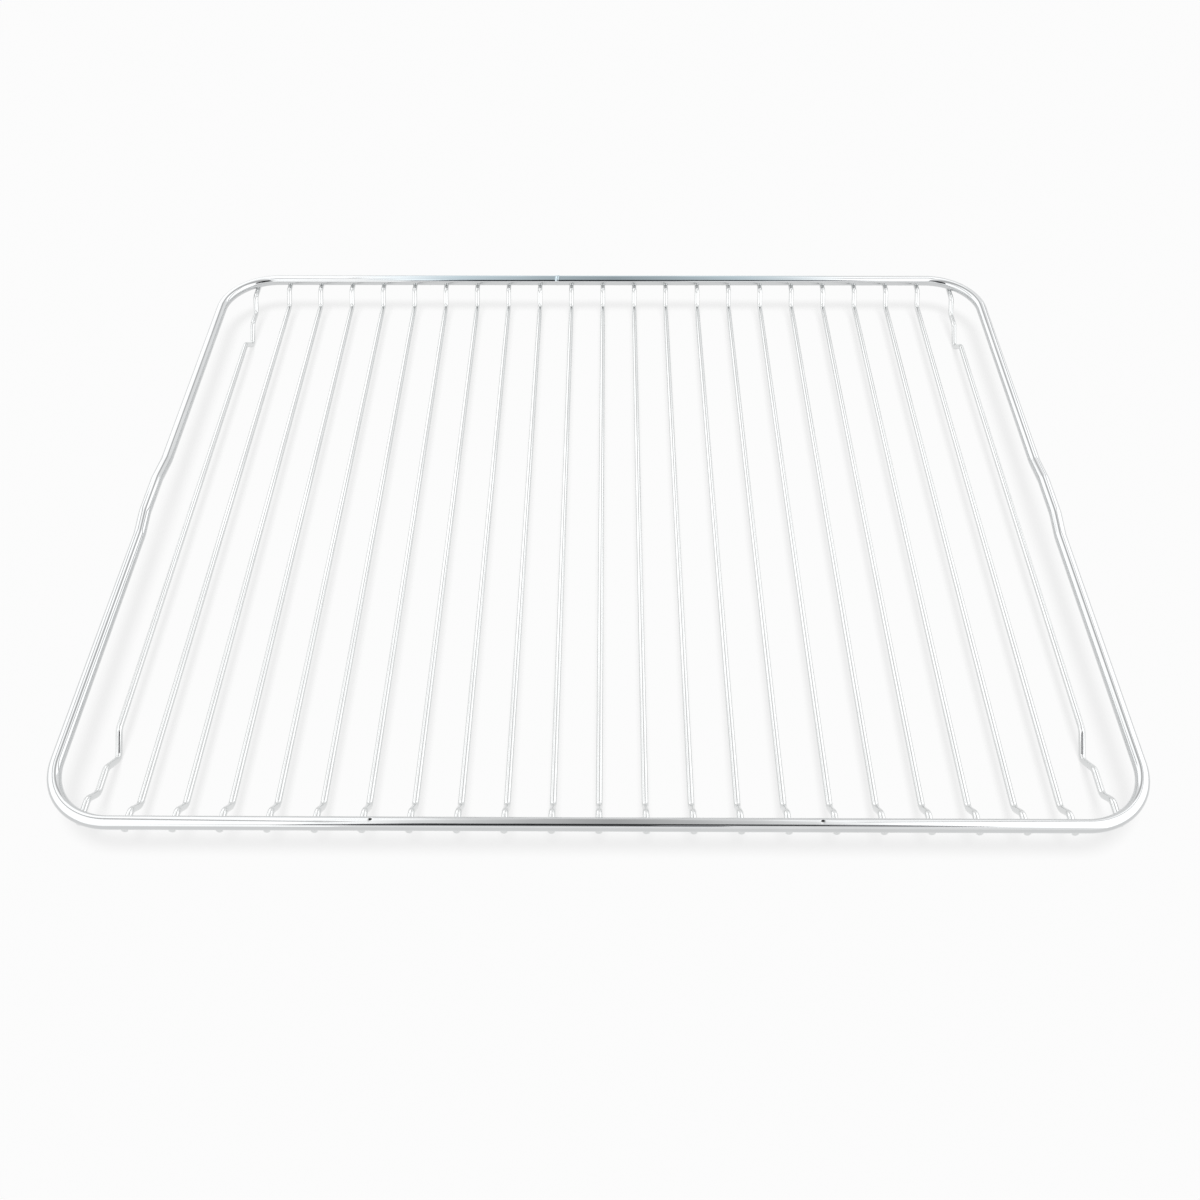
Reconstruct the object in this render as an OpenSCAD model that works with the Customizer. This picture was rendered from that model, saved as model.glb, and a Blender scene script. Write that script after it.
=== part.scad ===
// Oven shelf rack: a closed frame of thick wire with a grid of thin wires welded under it.
// The grid hangs below the frame, which stands round it as a rim. The outermost grid wires
// dip to four V-shaped feet, and each side of the frame rises in an anti-tip bump.
// X runs across the oven, Y from front to rear, Z up from the surface under the feet.

/* [Frame] */
// Outer width, over the side runs that slide between the oven's runners
shelf_width = 466; // [350:1:600]
// Outer depth, from the front run to the rear run
shelf_depth = 385; // [345:1:450]
// Diameter of the frame wire
frame_d = 5.8; // [4:0.1:8]
// Radius of the corner bends, at the centre of the wire
corner_radius = 29.5; // [15:0.5:60]

/* [Anti-tip bumps] */
// How far the side runs rise at their bumps
bump_rise = 2.6; // [0.5:0.1:4]
// Distance from the front of the shelf to the foot of the bump
bump_from_front = 165; // [100:1:180]
// Length of the ramp at the front of the bump
bump_front_ramp = 13; // [10:0.5:25]
// Length of the flat top of the bump
bump_top = 24; // [10:0.5:40]
// Length of the ramp at the rear of the bump
bump_rear_ramp = 17; // [10:0.5:25]
// Radius of the bends of the bump, at the centre of the wire
bump_bend_radius = 12; // [6:0.5:20]

/* [Butt weld of the frame] */
// Place of the weld on the rear run, to the right of the middle
seam_offset = -27; // [-150:1:150]
// Width of the weld's band
seam_width = 1.4; // [0.5:0.1:3]
// How far the band stands proud of the wire
seam_rise = 0.12; // [0.05:0.01:0.3]

/* [Grid] */
// Diameter of the grid wires
wire_d = 2.9; // [2:0.1:4]
// Number of grid wires, with the two that carry the feet
wire_count = 23; // [7:2:31]
// Distance from the side of the shelf to the centre of the outermost wire, with the grid centred
side_inset = 18.5; // [14:0.5:40]
// How far to the right of the frame's middle the grid is welded
grid_offset = 1; // [-2:0.1:2]
// How far each wire runs on past the centre of the frame wire
tip_overhang = 1.2; // [0.5:0.1:2.5]
// Chamfer at the cut ends of the wires
tip_chamfer = 0.3; // [0.1:0.05:0.6]
// How deep the frame wire sinks into each grid wire at its weld
weld_sink = 0.85; // [0.2:0.05:1.2]
// Radius of the small bends, at the centre of the wire
wire_bend_radius = 3.2; // [2.5:0.1:6]

/* [Steps from the frame down to the grid] */
// How far each wire steps down
step_drop = 7; // [2:0.1:12]
// Length over which it steps down
step_run = 6.8; // [4:0.1:12]
// Frame wire to the step, at the front of the plain wires
front_step_gap = 8.6; // [6:0.1:20]
// Frame wire to the step, at the rear of the plain wires
rear_step_gap = 5.8; // [5:0.1:20]
// Frame wire to the step, at both ends of the wires that carry the feet
foot_step_gap = 9.9; // [6:0.1:20]

/* [Feet] */
// How far a foot reaches below the grid
foot_drop = 7.4; // [3:0.1:12]
// Length of each flank of the V
foot_flank = 9; // [5:0.1:15]
// Straight stretch at the bottom of the V
foot_flat = 0.3; // [0.1:0.1:10]
// Level stretch between the step and the foot, at the front
front_foot_gap = 12.5; // [10:0.5:40]
// Level stretch between the step and the foot, at the rear
rear_foot_gap = 10.5; // [10:0.5:40]

/* [Hidden] */
$fn = 48;
// Facets round a wire, and round a full turn of a wire's bend
wire_fn = 48;
bend_fn = 96;

// The ways that a wire bends, as directions round it: it is laid with its X axis up
up = 0;
right = up + 90;
down = right + 90;

// Heights of the wires' centres above the surface under the feet
grid_z = foot_drop + wire_d / 2;
tip_z = grid_z + step_drop;
frame_z = tip_z + wire_d / 2 - weld_sink + frame_d / 2;

// The frame wire's centre line: half its width and depth, and half its straight runs
half_x = (shelf_width - frame_d) / 2;
half_y = (shelf_depth - frame_d) / 2;
run_x = half_x - corner_radius;
run_y = half_y - corner_radius;

// The outermost wires' distance from the grid's middle, and the step from wire to wire
outer_x = shelf_width / 2 - side_inset;
wire_pitch = 2 * outer_x / (wire_count - 1);
plain_count = wire_count - 2;

// The foot's bottom, between the bends that end its flanks
foot_turn = atan2(foot_drop, foot_flank);
foot_base = foot_flat + 2 * wire_bend_radius * tan(foot_turn / 2);

function two_digits(i) = i < 10 ? str("0", i) : str(i);
function plain_name(i) = str("grid_wire_", two_digits(i));
function wire_x(i) = wire_pitch * i - outer_x + grid_offset;

// Distance from the middle of the shelf to the frame wire, where a wire at x meets its end run
function rim_y(x) =
    let (into_corner = max(0, abs(x) - run_x))
    run_y + sqrt(corner_radius * corner_radius - into_corner * into_corner);

// The angle nearest to the given one, within a few hundredths of a degree, at which the sine
// and the cosine are both whole millionths. A wire turned by it keeps its exact diameter in
// figures of that length, so that each straight and bend meets the next without a ledge.
function even_turn(angle) =
    let (
        whole = 1000000,
        sine = round(whole * sin(angle)),
        found = [
            for (k = [0:1200], side = [-1, 1])
                let (
                    b = sine + side * k,
                    a = round(sqrt(max(0, whole * whole - b * b)))
                )
                if (abs(a * a + b * b - whole * whole) < whole / 20)
                    atan2(b, a)
        ]
    )
    found[0];

// Steps along a path of [along, up] points. Each is a straight and the bend after it: the
// straight's length, the bend's angle, its way (see laid_wire) and its radius.
function steps_along(path, radius) =
    let (
        last = len(path) - 1,
        legs = [for (i = [1:last]) path[i] - path[i - 1]],
        headings = [for (leg = legs) atan2(leg[1], leg[0])],
        turns = [for (i = [1:last]) i < last ? headings[i] - headings[i - 1] : 0],
        setbacks = concat(0, [for (turn = turns) radius * tan(abs(turn) / 2)])
    )
    [
        for (i = [0:last - 1]) [
            norm(legs[i]) - setbacks[i] - setbacks[i + 1],
            even_turn(abs(turns[i])),
            turns[i] > 0 ? up : down,
            radius
        ]
    ];

// A round wire laid step by step along Z from the origin, as it is bent: each straight and
// each bend starts where the one before it ends. A bend's way is its direction round the
// wire, from the X axis. Children stand at the wire's far end.
module laid_wire(steps, d, i = 0) {
    straight = steps[i][0];
    cylinder(h = straight, d = d);
    translate([0, 0, straight]) {
        if (i < len(steps) - 1) {
            angle = steps[i][1];
            way = steps[i][2];
            radius = steps[i][3];
            rotate(way) {
                bend(angle, radius, d, way);
                translate([radius, 0, 0])
                    rotate([0, angle, 0])
                        translate([-radius, 0, 0])
                            rotate(-way)
                                laid_wire(steps, d, i + 1)
                                    children();
            }
        } else {
            children();
        }
    }
}

// A bend of round wire that starts at the origin along Z and bends towards X: the part of a
// ring between the plane where the bend starts and the plane where it ends. The wire's
// section is turned by wire_turn, so that its facets line up with those of the straights.
module bend(angle, radius, d, wire_turn) {
    reach = 2 * (radius + d);
    intersection() {
        translate([radius, 0, 0])
            rotate([90, 0, 0])
                rotate_extrude($fn = bend_fn)
                    translate([radius, 0])
                        rotate(180 - wire_turn)
                            circle(d = d, $fn = wire_fn);
        translate([-reach, -reach / 2, 0])
            cube([2 * reach, reach, reach]);
        translate([radius, 0, 0])
            rotate([0, angle, 0])
                translate([-reach, -reach / 2, -reach])
                    cube([2 * reach, reach, reach]);
    }
}

// The path of a side run between its corners, [along, up], with its anti-tip bump
function side_path(before, first_ramp, second_ramp) = [
    [0, 0],
    [before, 0],
    [before + first_ramp, bump_rise],
    [before + first_ramp + bump_top, bump_rise],
    [before + first_ramp + bump_top + second_ramp, 0],
    [2 * run_y, 0]
];

// A side run's steps, with the corner that ends it
function side_steps(before, first_ramp, second_ramp) =
    let (
        steps = steps_along(side_path(before, first_ramp, second_ramp), bump_bend_radius),
        last = len(steps) - 1
    )
    concat([for (i = [0:last - 1]) steps[i]], [with_corner(steps[last][0])]);

// A straight with a corner of the frame after it
function with_corner(straight) = [straight, 90, right, corner_radius];

// The frame: one wire bent round clockwise from its butt weld at the rear
module frame_wire() {
    bump_length = bump_front_ramp + bump_top + bump_rear_ramp;
    front_to_bump = bump_from_front - frame_d / 2 - corner_radius;
    rear_to_bump = 2 * run_y - front_to_bump - bump_length;
    end_in_weld = seam_width / 4;
    steps = concat(
        [with_corner(run_x - seam_offset - end_in_weld)],
        side_steps(rear_to_bump, bump_rear_ramp, bump_front_ramp),
        [with_corner(2 * run_x)],
        side_steps(front_to_bump, bump_front_ramp, bump_rear_ramp),
        [[run_x + seam_offset - end_in_weld, 0, up, corner_radius]]
    );
    color([0.78, 0.79, 0.81]) {
        translate([seam_offset + end_in_weld, half_y, frame_z])
            rotate([0, -90, 180])
                laid_wire(steps, frame_d);
        translate([seam_offset - seam_width / 2, half_y, frame_z])
            rotate([0, 90, 0])
                cylinder(h = seam_width, d = frame_d + 2 * seam_rise);
    }
}

// An end run of the frame, for the seats that it leaves in the wires: side 1 is the rear
module end_run(side) {
    translate([-run_x, side * half_y, frame_z])
        rotate([0, 90, 0])
            cylinder(h = 2 * run_x, d = frame_d);
}

// A corner of the frame, for the same seats: on the right, at the rear with side 1
module right_corner(side) {
    mirror([0, side > 0 ? 0 : 1, 0])
        translate([run_x, run_y, frame_z])
            rotate_extrude(angle = 90, $fn = bend_fn)
                translate([corner_radius, 0])
                    circle(d = frame_d, $fn = wire_fn);
}

// What the frame wire presses into a grid wire at x: its end runs, its corners or both
module weld_seats(x) {
    for (side = [-1, 1]) {
        if (abs(x) < run_x + wire_d)
            end_run(side);
        if (abs(x) > run_x - wire_d)
            mirror([x > 0 ? 0 : 1, 0, 0])
                right_corner(side);
    }
}

// A wire of the grid at x, along a path whose first and last points are its cut ends
module welded_wire(x, path) {
    last = len(path) - 1;
    chamfer = [tip_chamfer, 0];
    body = [for (i = [0:last]) i == 0 ? path[0] + chamfer : i == last ? path[last] - chamfer : path[i]];
    tip_d = wire_d - 2 * tip_chamfer;
    difference() {
        translate([x, body[0][0], tip_z])
            rotate([0, -90, -90]) {
                laid_wire(steps_along(body, wire_bend_radius), wire_d)
                    cylinder(h = tip_chamfer, d1 = wire_d, d2 = tip_d);
                translate([0, 0, -tip_chamfer])
                    cylinder(h = tip_chamfer, d1 = tip_d, d2 = wire_d);
            }
        weld_seats(x);
    }
}

// The path of a wire's front end: its cut end and its step, with the step's gap to the frame
function step_path(x, gap) = [
    [-rim_y(x) - tip_overhang, tip_z],
    [-rim_y(x) + gap, tip_z],
    [-rim_y(x) + gap + step_run, grid_z]
];

// The path of a foot that starts at y and goes towards the rear
function foot_path(y) = [
    [y, grid_z],
    [y + foot_flank, grid_z - foot_drop],
    [y + foot_flank + foot_base, grid_z - foot_drop],
    [y + 2 * foot_flank + foot_base, grid_z]
];

// The same path turned end for end, from the middle of the shelf to the rear
function mirrored(path) = [for (i = [len(path) - 1:-1:0]) [-path[i][0], path[i][1]]];

// A plain wire of the grid
module grid_wire(i) {
    x = wire_x(i);
    color([0.83, 0.84, 0.85])
        welded_wire(x, concat(step_path(x, front_step_gap), mirrored(step_path(x, rear_step_gap))));
}

// An outermost wire of the grid, which dips to a foot near each end
module foot_wire(x) {
    ends = step_path(x, foot_step_gap);
    step_end = ends[2][0];
    front = concat(ends, foot_path(step_end + front_foot_gap));
    rear = concat(ends, foot_path(step_end + rear_foot_gap));
    color([0.74, 0.76, 0.79])
        welded_wire(x, concat(front, mirrored(rear)));
}

frame_wire();
foot_wire(wire_x(0));  // foot_wire_left
foot_wire(wire_x(wire_count - 1));  // foot_wire_right
for (i = [1:plain_count])
    grid_wire(i);
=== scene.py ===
"""Oven shelf rack: bright plated wires, their welds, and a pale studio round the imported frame."""

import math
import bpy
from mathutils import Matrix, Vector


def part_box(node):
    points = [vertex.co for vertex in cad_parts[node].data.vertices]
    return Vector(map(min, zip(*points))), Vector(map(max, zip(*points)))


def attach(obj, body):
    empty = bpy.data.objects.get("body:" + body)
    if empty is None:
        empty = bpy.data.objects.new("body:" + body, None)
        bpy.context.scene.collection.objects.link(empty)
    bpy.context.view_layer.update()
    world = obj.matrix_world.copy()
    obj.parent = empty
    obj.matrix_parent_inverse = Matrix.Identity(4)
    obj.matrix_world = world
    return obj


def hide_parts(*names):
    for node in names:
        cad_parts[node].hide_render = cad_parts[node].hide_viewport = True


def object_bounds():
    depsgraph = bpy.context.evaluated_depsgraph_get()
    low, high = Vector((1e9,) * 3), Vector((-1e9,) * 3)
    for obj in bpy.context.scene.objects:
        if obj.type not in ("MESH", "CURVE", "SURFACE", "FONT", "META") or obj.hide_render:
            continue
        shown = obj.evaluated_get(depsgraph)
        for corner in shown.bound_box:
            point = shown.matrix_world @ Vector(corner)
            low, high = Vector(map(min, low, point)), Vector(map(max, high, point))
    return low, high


bl_info = {
    "name": "Oven shelf rack",
    "version": (1, 0, 0),
    "blender": (4, 5, 0),
    "location": "View3D > Sidebar > Shelf rack",
    "description": "Dresses an oven shelf rack in bright plated wire and sets it in a pale studio",
    "category": "Object",
}

import bmesh
import bpy
from bpy.props import FloatProperty, FloatVectorProperty, IntProperty, PointerProperty
from mathutils import Matrix, Vector

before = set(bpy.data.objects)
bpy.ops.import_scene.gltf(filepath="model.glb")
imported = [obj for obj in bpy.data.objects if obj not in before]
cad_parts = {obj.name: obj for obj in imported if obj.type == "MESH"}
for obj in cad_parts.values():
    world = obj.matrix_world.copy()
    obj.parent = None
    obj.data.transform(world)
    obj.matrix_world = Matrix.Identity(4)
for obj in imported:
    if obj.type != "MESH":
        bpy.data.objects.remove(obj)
CAD_LOW, CAD_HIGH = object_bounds()

MM = 0.001
UP = Vector((0, 0, 1))
BODY = "root"
WIRE_MAP = "wire_map"


def size(name, description, millimetres):
    """A length property, with its default written in millimetres."""
    return FloatProperty(
        name=name, description=description, default=millimetres * MM, unit="LENGTH", precision=5
    )


def share(name, description, default):
    """A property from 0 to 1."""
    return FloatProperty(
        name=name, description=description, default=default, min=0, max=1, subtype="FACTOR"
    )


def level(name, description, default):
    """A light's strength, where 1 shows as white."""
    return FloatProperty(name=name, description=description, default=default, min=0)


def tint(name, description, default):
    """A colour property, in linear values."""
    return FloatVectorProperty(
        name=name, description=description, default=default, size=3, min=0, max=1, subtype="COLOR"
    )


def angle(name, description, degrees):
    """An angle property, with its default written in degrees."""
    return FloatProperty(
        name=name, description=description, default=math.radians(degrees), subtype="ANGLE"
    )


class ShelfFrameSizes(bpy.types.PropertyGroup):
    """Sizes of the thick wire round the shelf."""

    wire_d: size("Wire", "Diameter of the frame wire", 5.8)
    corner_radius: size("Corner radius", "Radius of the corner bends, at the wire's centre", 29.5)
    bump_rise: size("Bump rise", "How far the side runs rise at their anti-tip bumps", 2.6)
    bump_from_front: size("Bump from front", "Front of the shelf to the foot of the bump", 165)
    bump_front_ramp: size("Front ramp", "Length of the ramp at the front of the bump", 13)
    bump_top: size("Bump top", "Length of the flat top of the bump", 24)
    bump_rear_ramp: size("Rear ramp", "Length of the ramp at the rear of the bump", 17)
    bump_bend_radius: size("Bump bend", "Radius of the bump's bends, at the wire's centre", 12)
    seam_offset: size("Seam offset", "Place of the butt weld, to the right of the middle", -27)
    seam_width: size("Seam width", "Width of the butt weld's band", 2.2)
    seam_rise: size("Seam rise", "How far the butt weld stands proud of the wire", 0.1)
    seam_crown: size("Seam crown", "What the butt weld rises more on top", 0.14)
    seam_slant: size("Seam slant", "How far the butt weld leans off square", 0.5)
    mark_offset: size("Mark offset", "From the middle to each small mark on the front run", 92.2)
    mark_depth: size("Mark depth", "Depth of the small marks", 0.2)
    mark_reach: size("Mark reach", "Half the width of the small marks", 0.62)
    mark_lean: angle("Mark lean", "How far the marks sit to the rear of the wire's top", 10)
    sides: IntProperty(name="Sides", description="Facets round the frame wire", default=40, min=12)


class ShelfGridSizes(bpy.types.PropertyGroup):
    """Sizes of the thin wires welded under the frame."""

    wire_d: size("Wire", "Diameter of the grid wires", 2.9)
    tip_overhang: size("Overhang", "Frame wire's centre to the cut end of a wire", 1.2)
    tip_chamfer: size("Chamfer", "Chamfer at the cut ends", 0.3)
    tip_reach: size("Tip reach", "What a cut end reaches past the plain solid's", 0.7)
    bend_radius: size("Bend radius", "Radius of the bends at the foot of a V", 3.2)
    step_radius: size("Step radius", "Radius of the other small bends, eased by springback", 5)
    step_run: size("Step run", "Length over which a wire steps down", 6.8)
    front_step_run: size("Front step run", "The same, at a plain wire's front", 6.3)
    front_step_gap: size("Front step", "Frame wire to the step, at a plain wire's front", 7.6)
    rear_step_gap: size("Rear step", "Frame wire to the step, at a plain wire's rear", 5.8)
    foot_step_gap: size("Foot step", "Frame wire to the step of a wire with feet", 9.9)
    foot_flank: size("Foot flank", "Length of each flank of a foot's V", 9)
    foot_flat: size("Foot flat", "Straight stretch at the bottom of the V", 0.3)
    front_foot_gap: size("Front foot", "Level stretch between the step and the front foot", 12.5)
    rear_foot_gap: size("Rear foot", "Level stretch between the step and the rear foot", 10.5)
    sides: IntProperty(name="Sides", description="Facets round a grid wire", default=28, min=12)


class ShelfFinish(bpy.types.PropertyGroup):
    """Colours and gloss of the plating."""

    chrome: tint("Chrome", "Colour of the bright plating", (0.62, 0.63, 0.635))
    # Painted reflection: a bluish reflection painted into the colour on top of the rear run's
    # middle
    painted_blue_reflection: tint("Blue chrome", "Plating on top of the rear run", (0.52, 0.62, 0.67))
    # Painted brightening: lighter than the frame's chrome, standing in for brighter reflections on
    # the grid
    grid_chrome: tint("Grid chrome", "Colour of the plating on the grid", (0.70, 0.71, 0.71))
    # The small marks are real dents, but this near-black colour in them is a painted dark
    # reflection
    mark_painted_dark: tint("Mark colour", "Bare steel in the small marks", (0.03, 0.03, 0.03))
    chrome_dull: tint("Dull chrome", "Plating over the welds", (0.50, 0.50, 0.49))
    roughness: share("Roughness", "Roughness of the bright plating", 0.07)
    grid_roughness: share("Grid roughness", "Roughness of the plating on the grid", 0.10)
    weld_roughness: share("Weld roughness", "Roughness over the welds", 0.32)
    die_lines: size("Die lines", "Height of the fine lines along the drawn wire", 0.004)


class ShelfStudio(bpy.types.PropertyGroup):
    """The camera, the lamps and what the plating reflects."""

    lens: FloatProperty(name="Lens", description="Focal length, mm", default=34.267)
    camera_place: FloatVectorProperty(
        name="Camera",
        description="Place of the camera",
        default=(4.10 * MM, -419.33 * MM, 435.87 * MM),
        size=3,
        unit="LENGTH",
        precision=5,
    )
    pitch: angle("Pitch", "How far the camera looks down", 50.010)
    yaw: angle("Yaw", "How far the camera is turned to the right", -0.546)
    roll: angle("Roll", "How far the camera is rolled", -0.271)
    floor_colour: tint("Floor", "Colour of the floor", (0.80, 0.80, 0.80))
    floor_lift: level("Floor lift", "What makes the floor white to the camera", 0.64)
    backdrop: level("Backdrop", "How bright the surroundings look", 0.985)
    fill: level("Fill", "How much light the surroundings give", 0.25)
    sun: level("Overhead light", "Strength of the soft light overhead", 0.52)
    sun_spread: angle("Overhead spread", "Spread of the soft light overhead", 26)
    sun_lean: angle("Overhead lean", "How far the soft light leans to the front", 5)
    ceiling_height: size("Ceiling height", "Height of the grey ceiling in the reflections", 800)
    ceiling_half: size("Ceiling", "Half the width of the grey ceiling", 317)
    panel_reach: size("Panel reach", "Half the distance between the panels' lower edges", 820)
    panel_foot: size("Panel foot", "Height of the panels' lower edges", 80)
    left_panel: level("Left panel", "Brightness of the panel on the left", 1.65)
    right_panel: level("Right panel", "Brightness of the panel on the right", 1.75)
    past_panels: level("Past the panels", "Brightness behind the panels' rear ends", 1.13)
    past_length: size("Past length", "Length of what closes the tent behind the panels", 800)
    tent_seam: level("Tent seams", "Brightness of the grey seams across the panels", 0.7)


class Level:
    """A number that changes over a surface. Arithmetic on it adds the nodes that work it out."""

    def __init__(self, recipe, socket):
        self.recipe = recipe
        self.socket = socket

    def maths(self, operation, *values):
        return self.recipe.node("ShaderNodeMath", {"operation": operation}, dict(enumerate(values)))

    def __add__(self, other):
        return self.maths("ADD", self, other)

    def __radd__(self, other):
        return self.maths("ADD", other, self)

    def __sub__(self, other):
        return self.maths("SUBTRACT", self, other)

    def __rsub__(self, other):
        return self.maths("SUBTRACT", other, self)

    def __mul__(self, other):
        return self.maths("MULTIPLY", self, other)

    def __rmul__(self, other):
        return self.maths("MULTIPLY", other, self)

    def clipped(self):
        """The same number, kept from 0 to 1."""
        return self.maths("MAXIMUM", self.maths("MINIMUM", self, 1.0), 0.0)


class Recipe:
    """The nodes of a material or of the world."""

    def __init__(self, owner):
        owner.use_nodes = True
        self.tree = owner.node_tree
        self.tree.nodes.clear()

    def node(self, kind, settings=None, sockets=None, output=0):
        """Adds a node: its settings first, then the values or links of its sockets."""
        made = self.tree.nodes.new(kind)
        for name, value in (settings or {}).items():
            if name == "stops":
                self.set_stops(made.color_ramp, value)
            else:
                setattr(made, name, value)
        for name, value in (sockets or {}).items():
            if isinstance(value, Level):
                self.tree.links.new(value.socket, made.inputs[name])
            else:
                made.inputs[name].default_value = value
        return Level(self, made.outputs[output]) if made.outputs else None

    @staticmethod
    def set_stops(ramp, stops):
        """Gives a ramp its stops, each a place and a colour."""
        while len(ramp.elements) > len(stops):
            ramp.elements.remove(ramp.elements[-1])
        while len(ramp.elements) < len(stops):
            ramp.elements.new(1.0)
        for element, (place, colour) in zip(ramp.elements, stops):
            element.position = place
            element.color = colour

    def mixed(self, factor, first, second):
        """A colour between two others."""
        return self.node(
            "ShaderNodeMix",
            {"data_type": "RGBA"},
            {"Factor": factor, "A": first, "B": second},
            output=2,
        )


def solid(colour):
    """A colour as nodes take it, with its fourth number."""
    return (*colour, 1.0)


def bent_line(corners, closed=False, step=math.radians(4)):
    """Points and headings along a bent wire's centre, from corners and their bend radii."""
    stations = []
    count = len(corners)
    for i, (corner, radius) in enumerate(corners):
        before = corner - corners[i - 1][0]
        after = corners[(i + 1) % count][0] - corner
        if not closed and i == 0:
            before = after
        if not closed and i == count - 1:
            after = before
        before.normalize()
        after.normalize()
        turn = before.angle(after)
        if turn < 1e-4:
            stations.append((corner, before))
            continue
        setback = radius * math.tan(turn / 2)
        axis = before.cross(after).normalized()
        start = corner - before * setback
        centre = start + axis.cross(before) * radius
        parts = max(3, math.ceil(turn / step))
        for part in range(parts + 1):
            bend = Matrix.Rotation(turn * part / parts, 3, axis)
            stations.append((centre + bend @ (start - centre), bend @ before))
    return stations


def swept_wire(name, stations, radius, sides, closed=False, relief=None):
    """A round wire along the stations, as a new object. relief gives what a point stands proud."""
    mesh = bmesh.new()
    layer = mesh.loops.layers.uv.new(WIRE_MAP)
    rings = []
    along = 0.0
    for i, station in enumerate(stations):
        point, heading = station[:2]
        ring_radius = station[2] if len(station) > 2 else radius
        if i:
            along += (point - stations[i - 1][0]).length
        across = heading.cross(UP).normalized()
        lift = across.cross(heading)
        ring = []
        for k in range(sides):
            turn = math.tau * k / sides
            outward = across * math.cos(turn) + lift * math.sin(turn)
            proud = relief(point, outward) if relief else 0.0
            ring.append(mesh.verts.new(point + outward * (ring_radius + proud)))
        rings.append((ring, along))
    pairs = list(zip(rings, rings[1:]))
    if closed:
        end = along + (stations[0][0] - stations[-1][0]).length
        pairs.append((rings[-1], (rings[0][0], end)))
    for (ring, low), (following, high) in pairs:
        for k in range(sides):
            n = (k + 1) % sides
            face = mesh.faces.new((ring[k], ring[n], following[n], following[k]))
            places = ((low, k), (low, k + 1), (high, k + 1), (high, k))
            for loop, (distance, turned) in zip(face.loops, places):
                loop[layer].uv = (distance, turned / sides)
    if not closed:
        mesh.faces.new(list(reversed(rings[0][0])))
        mesh.faces.new(rings[-1][0])
    bmesh.ops.recalc_face_normals(mesh, faces=mesh.faces[:])
    return shown(name, mesh)


def shown(name, mesh):
    """A new smooth-shaded object in the scene, from a bmesh."""
    data = bpy.data.meshes.new(name)
    mesh.to_mesh(data)
    mesh.free()
    data.polygons.foreach_set("use_smooth", [True] * len(data.polygons))
    data.set_sharp_from_angle(angle=math.radians(35))
    made = bpy.data.objects.new(name, data)
    bpy.context.scene.collection.objects.link(made)
    return made


def finished(piece, material, slot, *nodes):
    """Gives a piece its material and puts it in place of the CAD nodes; the slot is not used."""
    piece.data.materials.clear()
    piece.data.materials.append(material)
    piece.visible_diffuse = False
    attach(piece, BODY)
    if nodes:
        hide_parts(*nodes)
    return piece


def wire_grain(recipe, scale):
    """Fine noise drawn out along the wire, without a joint round it."""
    place = recipe.node("ShaderNodeUVMap", {"uv_map": WIRE_MAP})
    along = recipe.node("ShaderNodeSeparateXYZ", None, {"Vector": place}, output=0)
    turned = recipe.node("ShaderNodeSeparateXYZ", None, {"Vector": place}, output=1) * math.tau
    point = recipe.node(
        "ShaderNodeCombineXYZ",
        None,
        {
            "X": along * 20.0,
            "Y": turned.maths("COSINE", turned) * scale,
            "Z": turned.maths("SINE", turned) * scale,
        },
    )
    return recipe.node(
        "ShaderNodeTexNoise", None, {"Vector": point, "Scale": 1.0, "Detail": 3.0, "Roughness": 0.6}
    )


# The painted blue reflection's limits in shares of the frame wire's box, each with the slope of its
# edge
TINT_HALF_WIDTH, TINT_SIDE_SLOPE = 0.33, 7.0
TINT_REAR, TINT_REAR_SLOPE = 0.9945, 350.0
TINT_FRONT, TINT_FRONT_SLOPE = 0.95, 25.0
TINT_LOW, TINT_LOW_SLOPE = 0.49, 14.0

# How far a mark painted dark stays fully dark, as the square of its share of the mark's reach, plus
# 1
MARK_CORE = 1.7


def painted_rear_reflection(recipe):
    """1 on the upper front of the rear run's middle, where a bluish reflection is painted into the
    plating's colour.
    """
    place = recipe.node("ShaderNodeTexCoord", output=0)
    across, back, lift = (
        recipe.node("ShaderNodeSeparateXYZ", None, {"Vector": place}, output=i) for i in range(3)
    )
    off_middle = (across - 0.5).maths("ABSOLUTE", across - 0.5)
    inner = ((TINT_HALF_WIDTH - off_middle) * TINT_SIDE_SLOPE).clipped()
    forward = 1 - ((back - TINT_REAR) * TINT_REAR_SLOPE).clipped()
    rear_run = ((back - TINT_FRONT) * TINT_FRONT_SLOPE).clipped()
    return rear_run * forward * inner * ((lift - TINT_LOW) * TINT_LOW_SLOPE).clipped()


def marks_painted_dark(recipe, sizes):
    """1 on the two small dents on top of the frame's front run, whose near-black colour is a
    painted dark reflection.
    """
    low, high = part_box("frame_wire")
    radius = sizes.wire_d / 2
    middle = (
        sizes.mark_offset,
        low.y + radius + radius * math.sin(sizes.mark_lean),
        low.z + radius + radius * math.cos(sizes.mark_lean),
    )
    place = recipe.node("ShaderNodeTexCoord", output=3)
    x, y, z = (
        recipe.node("ShaderNodeSeparateXYZ", None, {"Vector": place}, output=i) for i in range(3)
    )
    offs = [part - at for part, at in zip((x.maths("ABSOLUTE", x), y, z), middle)]
    return (MARK_CORE - sum(off * off for off in offs) * sizes.mark_reach**-2).clipped()


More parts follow.
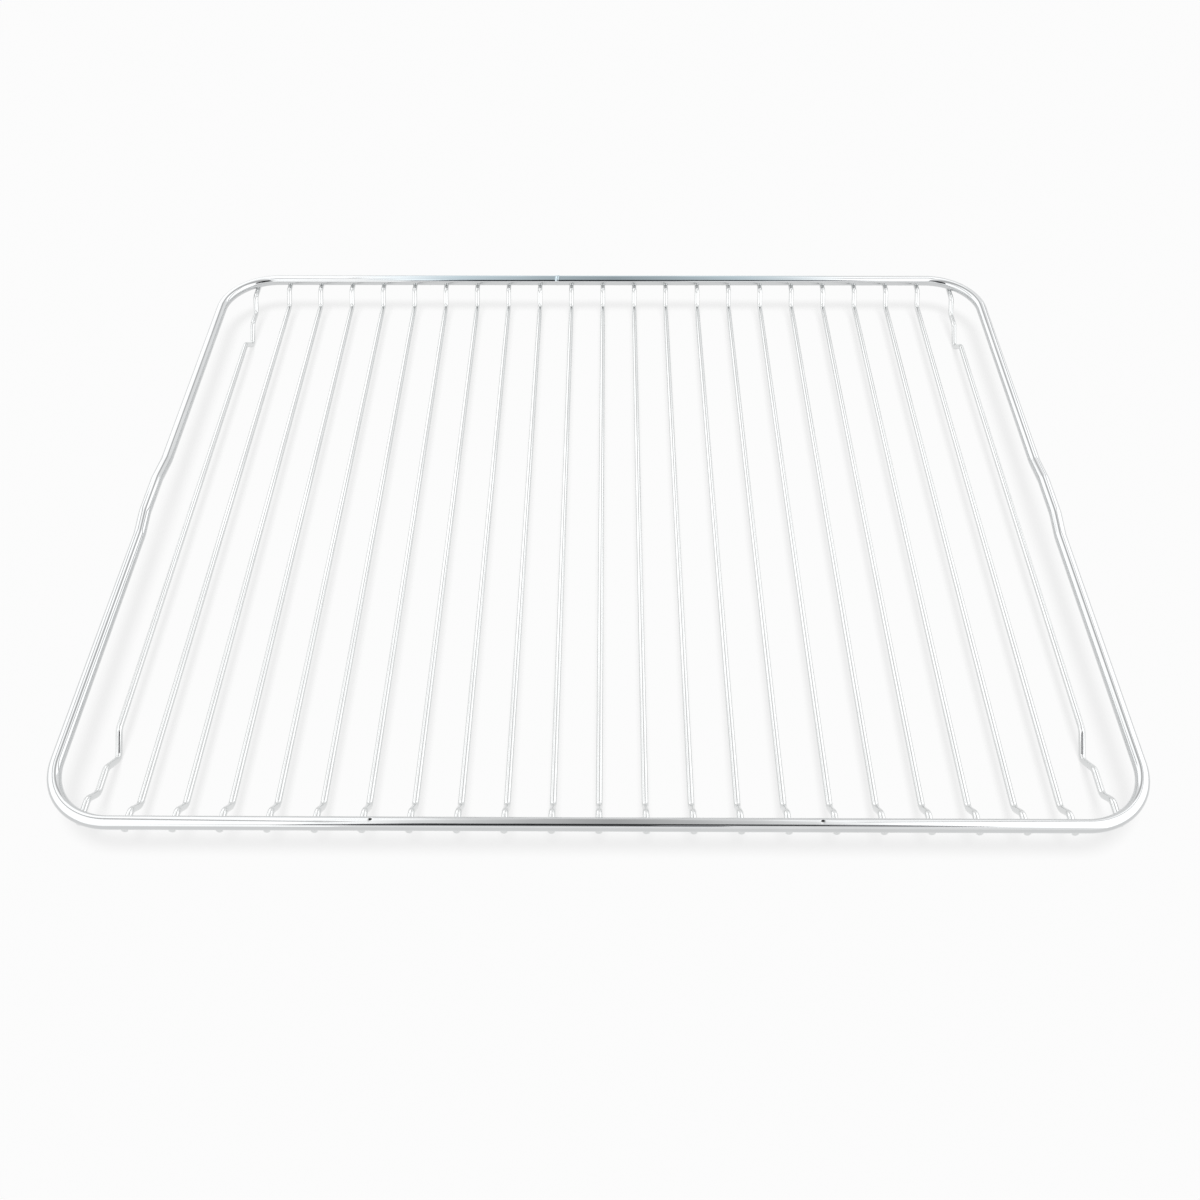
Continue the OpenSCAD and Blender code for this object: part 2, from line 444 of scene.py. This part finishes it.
def plating(name, finish, colour, roughness, rim=None):
    """Bright plating over drawn wire: faint die lines, and gloss that varies a little."""
    material = bpy.data.materials.new(name)
    recipe = Recipe(material)
    grain = wire_grain(recipe, 9.0)
    bloom = recipe.node(
        "ShaderNodeTexNoise",
        None,
        {
            "Vector": recipe.node("ShaderNodeTexCoord", output=3),
            "Scale": 60.0,
            "Detail": 2.0,
        },
    )
    base = recipe.mixed(bloom, solid([c * 0.94 for c in colour]), solid([c * 1.04 for c in colour]))
    if rim:
        # Painted bluish reflection on top of the rear run's middle
        base = recipe.mixed(painted_rear_reflection(recipe), base, solid(finish.painted_blue_reflection))
        # The two small dents, painted near-black as a dark reflection
        base = recipe.mixed(marks_painted_dark(recipe, rim), base, solid(finish.mark_painted_dark))
    gloss = roughness * 0.6 + (bloom * 0.5 + grain * 0.5) * (roughness * 0.8)
    bump = recipe.node(
        "ShaderNodeBump", None, {"Strength": 0.25, "Distance": finish.die_lines, "Height": grain}
    )
    surface = recipe.node(
        "ShaderNodeBsdfPrincipled",
        None,
        {"Base Color": base, "Metallic": 1.0, "Roughness": gloss, "Normal": bump},
    )
    recipe.node("ShaderNodeOutputMaterial", None, {"Surface": surface})
    return material


def sizes_of(context):
    """The sizes of the frame wire and of the grid wires."""
    return context.scene.shelf_frame, context.scene.shelf_grid


def frame_corners(sizes):
    """The frame wire's corners and bend radii, anticlockwise from the front left."""
    low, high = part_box("frame_wire")
    radius = sizes.wire_d / 2
    z = low.z + radius
    left, right = low.x + radius, high.x - radius
    front = low.y + radius
    rear = -front
    foot = low.y + sizes.bump_from_front
    top = foot + sizes.bump_front_ramp
    top_end = top + sizes.bump_top
    foot_end = top_end + sizes.bump_rear_ramp
    bump = [(foot, z), (top, z + sizes.bump_rise), (top_end, z + sizes.bump_rise), (foot_end, z)]
    corner = sizes.corner_radius
    bend = sizes.bump_bend_radius
    fine = 0.1 * MM
    seam = [sizes.seam_offset - k * fine for k in range(-25, 26)]
    spots = [s * sizes.mark_offset + k * 0.15 * MM for s in (-1, 1) for k in range(-10, 11)]
    return (
        [(Vector((left, front, z)), corner)]
        + [(Vector((x, front, z)), 0) for x in spots]
        + [(Vector((right, front, z)), corner)]
        + [(Vector((right, y, height)), bend) for y, height in bump]
        + [(Vector((right, rear, z)), corner)]
        + [(Vector((x, rear, z)), 0) for x in seam]
        + [(Vector((left, rear, z)), corner)]
        + [(Vector((left, y, height)), bend) for y, height in reversed(bump)]
    )


def frame_relief(sizes):
    """What the frame wire stands proud: its butt weld, and the two small marks on its front."""
    half = sizes.seam_width / 2
    pressed = Vector((0, math.sin(sizes.mark_lean), math.cos(sizes.mark_lean)))

    def relief(point, outward):
        if point.y > 0:
            off = (point.x - sizes.seam_offset - outward.y * sizes.seam_slant) / half
            if abs(off) > 2:
                return 0.0
            crown = sizes.seam_crown * max(outward.z, 0)
            return (sizes.seam_rise + crown) * math.exp(-(off**2) * 2)
        across = (abs(point.x) - sizes.mark_offset) / sizes.mark_reach
        if abs(across) > 3:
            return 0.0
        turned = outward.angle(pressed) * sizes.wire_d / 2 / sizes.mark_reach
        return -sizes.mark_depth * math.exp(-(across**2) - turned**2)

    return relief


class SHELF_OT_frame_wire(bpy.types.Operator):
    """Lays the thick wire that runs round the shelf, with its butt weld"""

    bl_idname = "shelf.frame_wire"
    bl_label = "Frame wire"

    def execute(self, context):
        sizes, _ = sizes_of(context)
        finish = context.scene.shelf_finish
        stations = bent_line(frame_corners(sizes), closed=True)
        wire = swept_wire(
            "frame_wire_plated",
            stations,
            sizes.wire_d / 2,
            sizes.sides,
            closed=True,
            relief=frame_relief(sizes),
        )
        material = plating("frame_plating", finish, finish.chrome, finish.roughness, sizes)
        finished(wire, material, "frame_chrome", "frame_wire")
        return {"FINISHED"}


def cut_wire(name, x, points, sizes):
    """A grid wire at x, with chamfered cut ends, along points of [along, up, own bend radius]."""
    stations = bent_line(
        [(Vector((x, y, z)), own[0] if own else sizes.step_radius) for y, z, *own in points]
    )
    radius = sizes.wire_d / 2
    tip = radius - sizes.tip_chamfer
    first, last = stations[0], stations[-1]
    body = [(first[0] + first[1] * sizes.tip_chamfer, first[1])]
    body += stations[1:-1]
    body += [(last[0] - last[1] * sizes.tip_chamfer, last[1])]
    return swept_wire(name, [(*first, tip)] + body + [(*last, tip)], radius, sizes.sides)


def end_of_wire(low, high, gap, run, sizes, front):
    """A wire's end at the front or the rear: its cut end, and the step down to the grid."""
    radius = sizes.wire_d / 2
    tip_z, grid_z = high.z - radius, low.z + radius
    end = low.y if front else high.y
    way = 1 if front else -1
    return [
        (end - way * sizes.tip_reach, tip_z),
        (end + way * gap, tip_z),
        (end + way * (gap + run), grid_z),
    ]


class SHELF_OT_grid_wires(bpy.types.Operator):
    """Lays the plain wires of the grid"""

    bl_idname = "shelf.grid_wires"
    bl_label = "Grid wires"

    def execute(self, context):
        _, sizes = sizes_of(context)
        finish = context.scene.shelf_finish
        # grid_chrome is painted lighter than the frame's chrome, standing in for brighter
        # reflections
        material = plating("grid_plating", finish, finish.grid_chrome, finish.grid_roughness)
        nodes = sorted(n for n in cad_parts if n.startswith("grid_wire_"))
        if not nodes:
            raise RuntimeError("the packed frame has no grid wires")
        for node in nodes:
            low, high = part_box(node)
            x = (low.x + high.x) / 2
            front_gap = sizes.tip_overhang + sizes.front_step_gap
            rear_gap = sizes.tip_overhang + sizes.rear_step_gap
            front = end_of_wire(low, high, front_gap, sizes.front_step_run, sizes, True)
            rear = end_of_wire(low, high, rear_gap, sizes.step_run, sizes, False)
            wire = cut_wire(node + "_plated", x, front + rear[::-1], sizes)
            finished(wire, material, "grid_chrome", node)
        return {"FINISHED"}


class SHELF_OT_foot_wires(bpy.types.Operator):
    """Lays the two outermost wires, which dip to the feet"""

    bl_idname = "shelf.foot_wires"
    bl_label = "Foot wires"

    def execute(self, context):
        _, sizes = sizes_of(context)
        finish = context.scene.shelf_finish
        # grid_chrome is painted lighter than the frame's chrome, standing in for brighter
        # reflections
        material = plating("foot_plating", finish, finish.grid_chrome, finish.grid_roughness)
        radius = sizes.wire_d / 2
        for node in ("foot_wire_left", "foot_wire_right"):
            low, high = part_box(node)
            x = (low.x + high.x) / 2
            plain_low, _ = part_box("grid_wire_01")
            grid_z, foot_z = plain_low.z + radius, low.z + radius
            level_box = Vector((low.x, low.y, plain_low.z))
            gap = sizes.tip_overhang + sizes.foot_step_gap
            turn = math.atan2(grid_z - foot_z, sizes.foot_flank)
            base = sizes.foot_flat + 2 * sizes.bend_radius * math.tan(turn / 2)
            points = {}
            for front, foot_gap in ((True, sizes.front_foot_gap), (False, sizes.rear_foot_gap)):
                way = 1 if front else -1
                end = end_of_wire(level_box, high, gap, sizes.step_run, sizes, front)
                start = end[-1][0] + way * foot_gap
                flank = way * sizes.foot_flank
                foot = [
                    (start, grid_z),
                    (start + flank, foot_z, sizes.bend_radius),
                    (start + flank + way * base, foot_z, sizes.bend_radius),
                    (start + 2 * flank + way * base, grid_z),
                ]
                points[front] = end + foot
            wire = cut_wire(node + "_plated", x, points[True] + points[False][::-1], sizes)
            finished(wire, material, "grid_chrome", node)
        return {"FINISHED"}


class SHELF_OT_welds(bpy.types.Operator):
    """Adds the small fused collars where each grid wire is welded under the frame"""

    bl_idname = "shelf.welds"
    bl_label = "Welds"

    def execute(self, context):
        rim, sizes = sizes_of(context)
        finish = context.scene.shelf_finish
        mesh = bmesh.new()
        layer = mesh.loops.layers.uv.new(WIRE_MAP)
        low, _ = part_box("frame_wire")
        for node in sorted(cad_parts):
            if node == "frame_wire":
                continue
            start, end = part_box(node)
            x = (start.x + end.x) / 2
            ends = (start.y + sizes.tip_overhang, end.y - sizes.tip_overhang)
            for y in ends:
                centre = Vector((x, y, (low.z + end.z) / 2))
                blob = Matrix.Translation(centre) @ Matrix.Diagonal(
                    (sizes.wire_d * 0.51, rim.wire_d * 0.30, sizes.wire_d * 0.26, 1)
                )
                bmesh.ops.create_icosphere(mesh, subdivisions=3, radius=1, matrix=blob)
        for face in mesh.faces:
            for loop in face.loops:
                loop[layer].uv = (loop.vert.co.x, loop.vert.co.y)
        welds = shown("weld_nuggets", mesh)
        material = plating("weld_plating", finish, finish.chrome_dull, finish.weld_roughness)
        finished(welds, material, "grid_chrome")
        return {"FINISHED"}


def seen_by(recipe):
    """1 where a camera, mirror or glass ray looks, and 0 for the light that falls on things."""
    camera = recipe.node("ShaderNodeLightPath", output="Is Camera Ray")
    glossy = recipe.node("ShaderNodeLightPath", output="Is Glossy Ray")
    through = recipe.node("ShaderNodeLightPath", output="Is Transmission Ray")
    return (camera + glossy + through).clipped()


def floor_material(studio):
    """A white floor that keeps the shadow of the shelf."""
    material = bpy.data.materials.new("floor_white")
    recipe = Recipe(material)
    card = recipe.node("ShaderNodeBsdfDiffuse", None, {"Color": solid(studio.floor_colour)})
    glow = recipe.node(
        "ShaderNodeEmission",
        None,
        {"Color": (1, 1, 1, 1), "Strength": seen_by(recipe) * studio.floor_lift},
    )
    both = recipe.node("ShaderNodeAddShader", None, {0: card, 1: glow})
    recipe.node("ShaderNodeOutputMaterial", None, {"Surface": both})
    return material


def glow_material(name, colour, strength):
    """A card that only shows in the plating's reflections."""
    material = bpy.data.materials.new(name)
    recipe = Recipe(material)
    glow = recipe.node("ShaderNodeEmission", None, {"Color": solid(colour), "Strength": strength})
    recipe.node("ShaderNodeOutputMaterial", None, {"Surface": glow})
    return material


# The ceiling's brightness from its middle (0) to its sides (1), and the factor on all of it
CEILING_LEVELS = ((0.0, 0.27), (0.3, 0.36), (0.5, 0.45), (0.68, 0.54), (0.84, 0.73), (1.0, 0.88))
CEILING_STRENGTH = 2.0


def ceiling_material():
    """Grey along the middle, and brighter towards both sides."""
    material = bpy.data.materials.new("ceiling_grey")
    recipe = Recipe(material)
    place = recipe.node("ShaderNodeTexCoord", output=0)
    across = recipe.node("ShaderNodeSeparateXYZ", None, {"Vector": place}, output=1)
    off_middle = (across - 0.5).maths("ABSOLUTE", across - 0.5) * 2.0
    stops = [(at, (value, value, value, 1)) for at, value in CEILING_LEVELS]
    grey = recipe.node("ShaderNodeValToRGB", {"stops": stops}, {"Fac": off_middle})
    glow = recipe.node(
        "ShaderNodeBsdfPrincipled",
        None,
        {
            "Base Color": (0, 0, 0, 1),
            "Roughness": 1.0,
            "Specular IOR Level": 0.0,
            "Emission Color": grey,
            "Emission Strength": CEILING_STRENGTH,
        },
    )
    recipe.node("ShaderNodeOutputMaterial", None, {"Surface": glow})
    return material


def rectangle(name, centre, facing, along, length, width, material):
    """A flat card that faces one way, with its length along another, as part of the stage."""
    mesh = bmesh.new()
    bmesh.ops.create_grid(mesh, x_segments=1, y_segments=1, size=0.5)
    data = bpy.data.meshes.new(name)
    mesh.to_mesh(data)
    mesh.free()
    data.materials.append(material)
    card = bpy.data.objects.new(name, data)
    bpy.context.scene.collection.objects.link(card)
    normal = Vector(facing).normalized()
    across = normal.cross(along).normalized()
    turn = Matrix((across.cross(normal), across, normal)).transposed()
    scale = Matrix.Diagonal((length, width, 1, 1))
    card.matrix_world = Matrix.Translation(centre) @ turn.to_4x4() @ scale
    return card


def only_reflected(card):
    """Leaves a card visible to the plating alone."""
    card.visible_camera = False
    card.visible_diffuse = False
    card.visible_transmission = False
    card.visible_volume_scatter = False
    card.visible_shadow = False


def set_camera(studio):
    """The camera, from its place and its three angles."""
    data = bpy.data.cameras.new("camera")
    data.sensor_width = 36
    data.lens = studio.lens
    data.clip_start = 0.01
    data.clip_end = 50
    camera = bpy.data.objects.new("camera", data)
    bpy.context.scene.collection.objects.link(camera)
    forward = Vector(
        (
            math.sin(studio.yaw) * math.cos(studio.pitch),
            math.cos(studio.yaw) * math.cos(studio.pitch),
            -math.sin(studio.pitch),
        )
    )
    right = forward.cross(UP).normalized()
    above = right.cross(forward)
    c, s = math.cos(studio.roll), math.sin(studio.roll)
    right, above = right * c + above * s, above * c - right * s
    turn = Matrix((right, above, -forward)).transposed()
    camera.matrix_world = Matrix.Translation(studio.camera_place) @ turn.to_4x4()
    bpy.context.scene.camera = camera


def soft_light(strength, spread, lean):
    """Even light from overhead, left out of the plating's reflections."""
    data = bpy.data.lights.new("overhead", "SUN")
    data.energy = strength
    data.angle = spread
    lamp = bpy.data.objects.new("overhead", data)
    lamp.rotation_euler = (lean, 0, 0)
    lamp.visible_glossy = False
    bpy.context.scene.collection.objects.link(lamp)


# The dark figure behind the camera: name, centre, width, height and brightness of each card
FIGURE = (
    ("figure_low", (-0.07, -0.44, 0.29), 0.22, 0.13, 0.04),
    ("figure_middle", (0.01, -0.45, 0.47), 0.36, 0.26, 0.04),
    ("figure_top", (0.085, -0.46, 0.80), 0.37, 0.42, 0.12),
    ("figure_edge_low", (-0.07, -0.48, 0.28), 0.32, 0.20, 0.34),
    ("figure_edge", (0.05, -0.48, 0.68), 0.52, 0.76, 0.34),
)

# What closes the light tent: name, centre, direction faced, width, height and brightness
ENDS = (
    ("ceiling_rear", (0, 1.3, 0.79), (0, 0, -1), 0.26, 0.50, 0.60),
    ("front_low", (0, -1.0, 0.32), (0, 1, 0), 2.4, 0.56, 1.13),
    ("front_left", (-0.75, -0.99, 0.30), (0, 1, 0), 0.9, 0.44, 1.60),
)

# The light tent's panels and seams: side, name, front and rear ends, and the seam's two ends
TENT = (
    (-1, "left", -0.9, 1.3, (-0.28, -0.25, 0.83), (-0.62, 0.42, 0.36)),
    (1, "right", -0.9, 0.85, (0.28, 0.15, 0.84), (0.76, 0.82, 0.20)),
)


# The tent's ceiling from front to rear, and its seams: width, and distance inside the panels
CEILING_LENGTH = 2.0
SEAM_WIDTH = 0.13
SEAM_INSET = 0.03

# Blue of the figure's cards over their grey, and the side of the square floor
FIGURE_BLUE = 1.05
FLOOR_SIDE = 12


def tent(studio):
    """The light tent's grey ceiling and bright panels, and the figure behind the camera."""
    high, half = studio.ceiling_height, studio.ceiling_half
    level_y = Vector((0, 1, 0))
    overhead = ceiling_material()
    place = (0.01, 0.05, high)
    only_reflected(rectangle("ceiling", place, -UP, level_y, CEILING_LENGTH, 2 * half, overhead))
    seam = glow_material("tent_seam", (1, 1, 1), studio.tent_seam)
    pale = glow_material("panel_past", (1, 1, 1), studio.past_panels)
    for side, name, front, rear, start, end in TENT:
        top = Vector((side * half, 0, high))
        foot = Vector((side * studio.panel_reach, 0, studio.panel_foot))
        inward = Vector((0, side, 0)).cross(foot - top).normalized()
        centre = (top + foot) / 2 + level_y * (front + rear) / 2
        strength = studio.left_panel if side < 0 else studio.right_panel
        white = glow_material(name + "_panel", (1, 1, 1), strength)
        size_y, size_z = rear - front, (foot - top).length
        only_reflected(rectangle(name + "_panel", centre, inward, level_y, size_y, size_z, white))
        length = studio.past_length
        past = centre + level_y * (size_y + length) / 2
        only_reflected(rectangle(name + "_past", past, inward, level_y, length, size_z, pale))
        start, end = Vector(start), Vector(end)
        middle = (start + end) / 2 + inward * SEAM_INSET
        slant = end - start
        only_reflected(
            rectangle(name + "_seam", middle, inward, slant, slant.length, SEAM_WIDTH, seam)
        )
    for name, centre, facing, wide, tall, grey in ENDS:
        card = glow_material(name, (1, 1, 1), grey)
        only_reflected(rectangle(name, centre, facing, (1, 0, 0), wide, tall, card))
    for name, centre, wide, tall, grey in FIGURE:
        card = glow_material(name, (grey, grey, grey * FIGURE_BLUE), 1.0)
        only_reflected(rectangle(name, centre, level_y, (1, 0, 0), wide, tall, card))


class SHELF_OT_studio(bpy.types.Operator):
    """Sets the floor, the lamps, the cards that the plating reflects, and the camera"""

    bl_idname = "shelf.studio"
    bl_label = "Studio"

    def execute(self, context):
        studio = context.scene.shelf_studio
        material = floor_material(studio)
        place = (0, 0, CAD_LOW.z)
        floor = rectangle("floor", place, UP, (1, 0, 0), FLOOR_SIDE, FLOOR_SIDE, material)
        floor.visible_shadow = False
        tent(studio)
        soft_light(studio.sun, studio.sun_spread, studio.sun_lean)
        set_camera(studio)
        world = bpy.data.worlds.new("surroundings")
        context.scene.world = world
        recipe = Recipe(world)
        seen = seen_by(recipe)
        strength = seen * studio.backdrop + (1 - seen) * studio.fill
        background = recipe.node(
            "ShaderNodeBackground", None, {"Color": (1, 1, 1, 1), "Strength": strength}
        )
        recipe.node("ShaderNodeOutputWorld", None, {"Surface": background})
        context.scene.view_settings.view_transform = "Standard"
        return {"FINISHED"}


PIECES = (
    SHELF_OT_frame_wire,
    SHELF_OT_grid_wires,
    SHELF_OT_foot_wires,
    SHELF_OT_welds,
    SHELF_OT_studio,
)


class SHELF_PT_panel(bpy.types.Panel):
    """The steps that dress the shelf, in their order"""

    bl_idname = "SHELF_PT_panel"
    bl_label = "Oven shelf rack"
    bl_space_type = "VIEW_3D"
    bl_region_type = "UI"
    bl_category = "Shelf rack"

    def draw(self, context):
        for operator in PIECES:
            self.layout.operator(operator.bl_idname)


GROUPS = {
    "shelf_frame": ShelfFrameSizes,
    "shelf_grid": ShelfGridSizes,
    "shelf_finish": ShelfFinish,
    "shelf_studio": ShelfStudio,
}


def register():
    """Registers the properties, the steps and the panel."""
    for name, group in GROUPS.items():
        bpy.utils.register_class(group)
        setattr(bpy.types.Scene, name, PointerProperty(type=group))
    for step in (*PIECES, SHELF_PT_panel):
        bpy.utils.register_class(step)


def unregister():
    """Takes back what register added."""
    for step in reversed((*PIECES, SHELF_PT_panel)):
        bpy.utils.unregister_class(step)
    for name, group in reversed(list(GROUPS.items())):
        delattr(bpy.types.Scene, name)
        bpy.utils.unregister_class(group)


def main():
    """Dresses the shelf step by step."""
    register()
    bpy.ops.shelf.frame_wire()
    bpy.ops.shelf.grid_wires()
    bpy.ops.shelf.foot_wires()
    bpy.ops.shelf.welds()
    bpy.ops.shelf.studio()


if __name__ == "__main__":
    main()
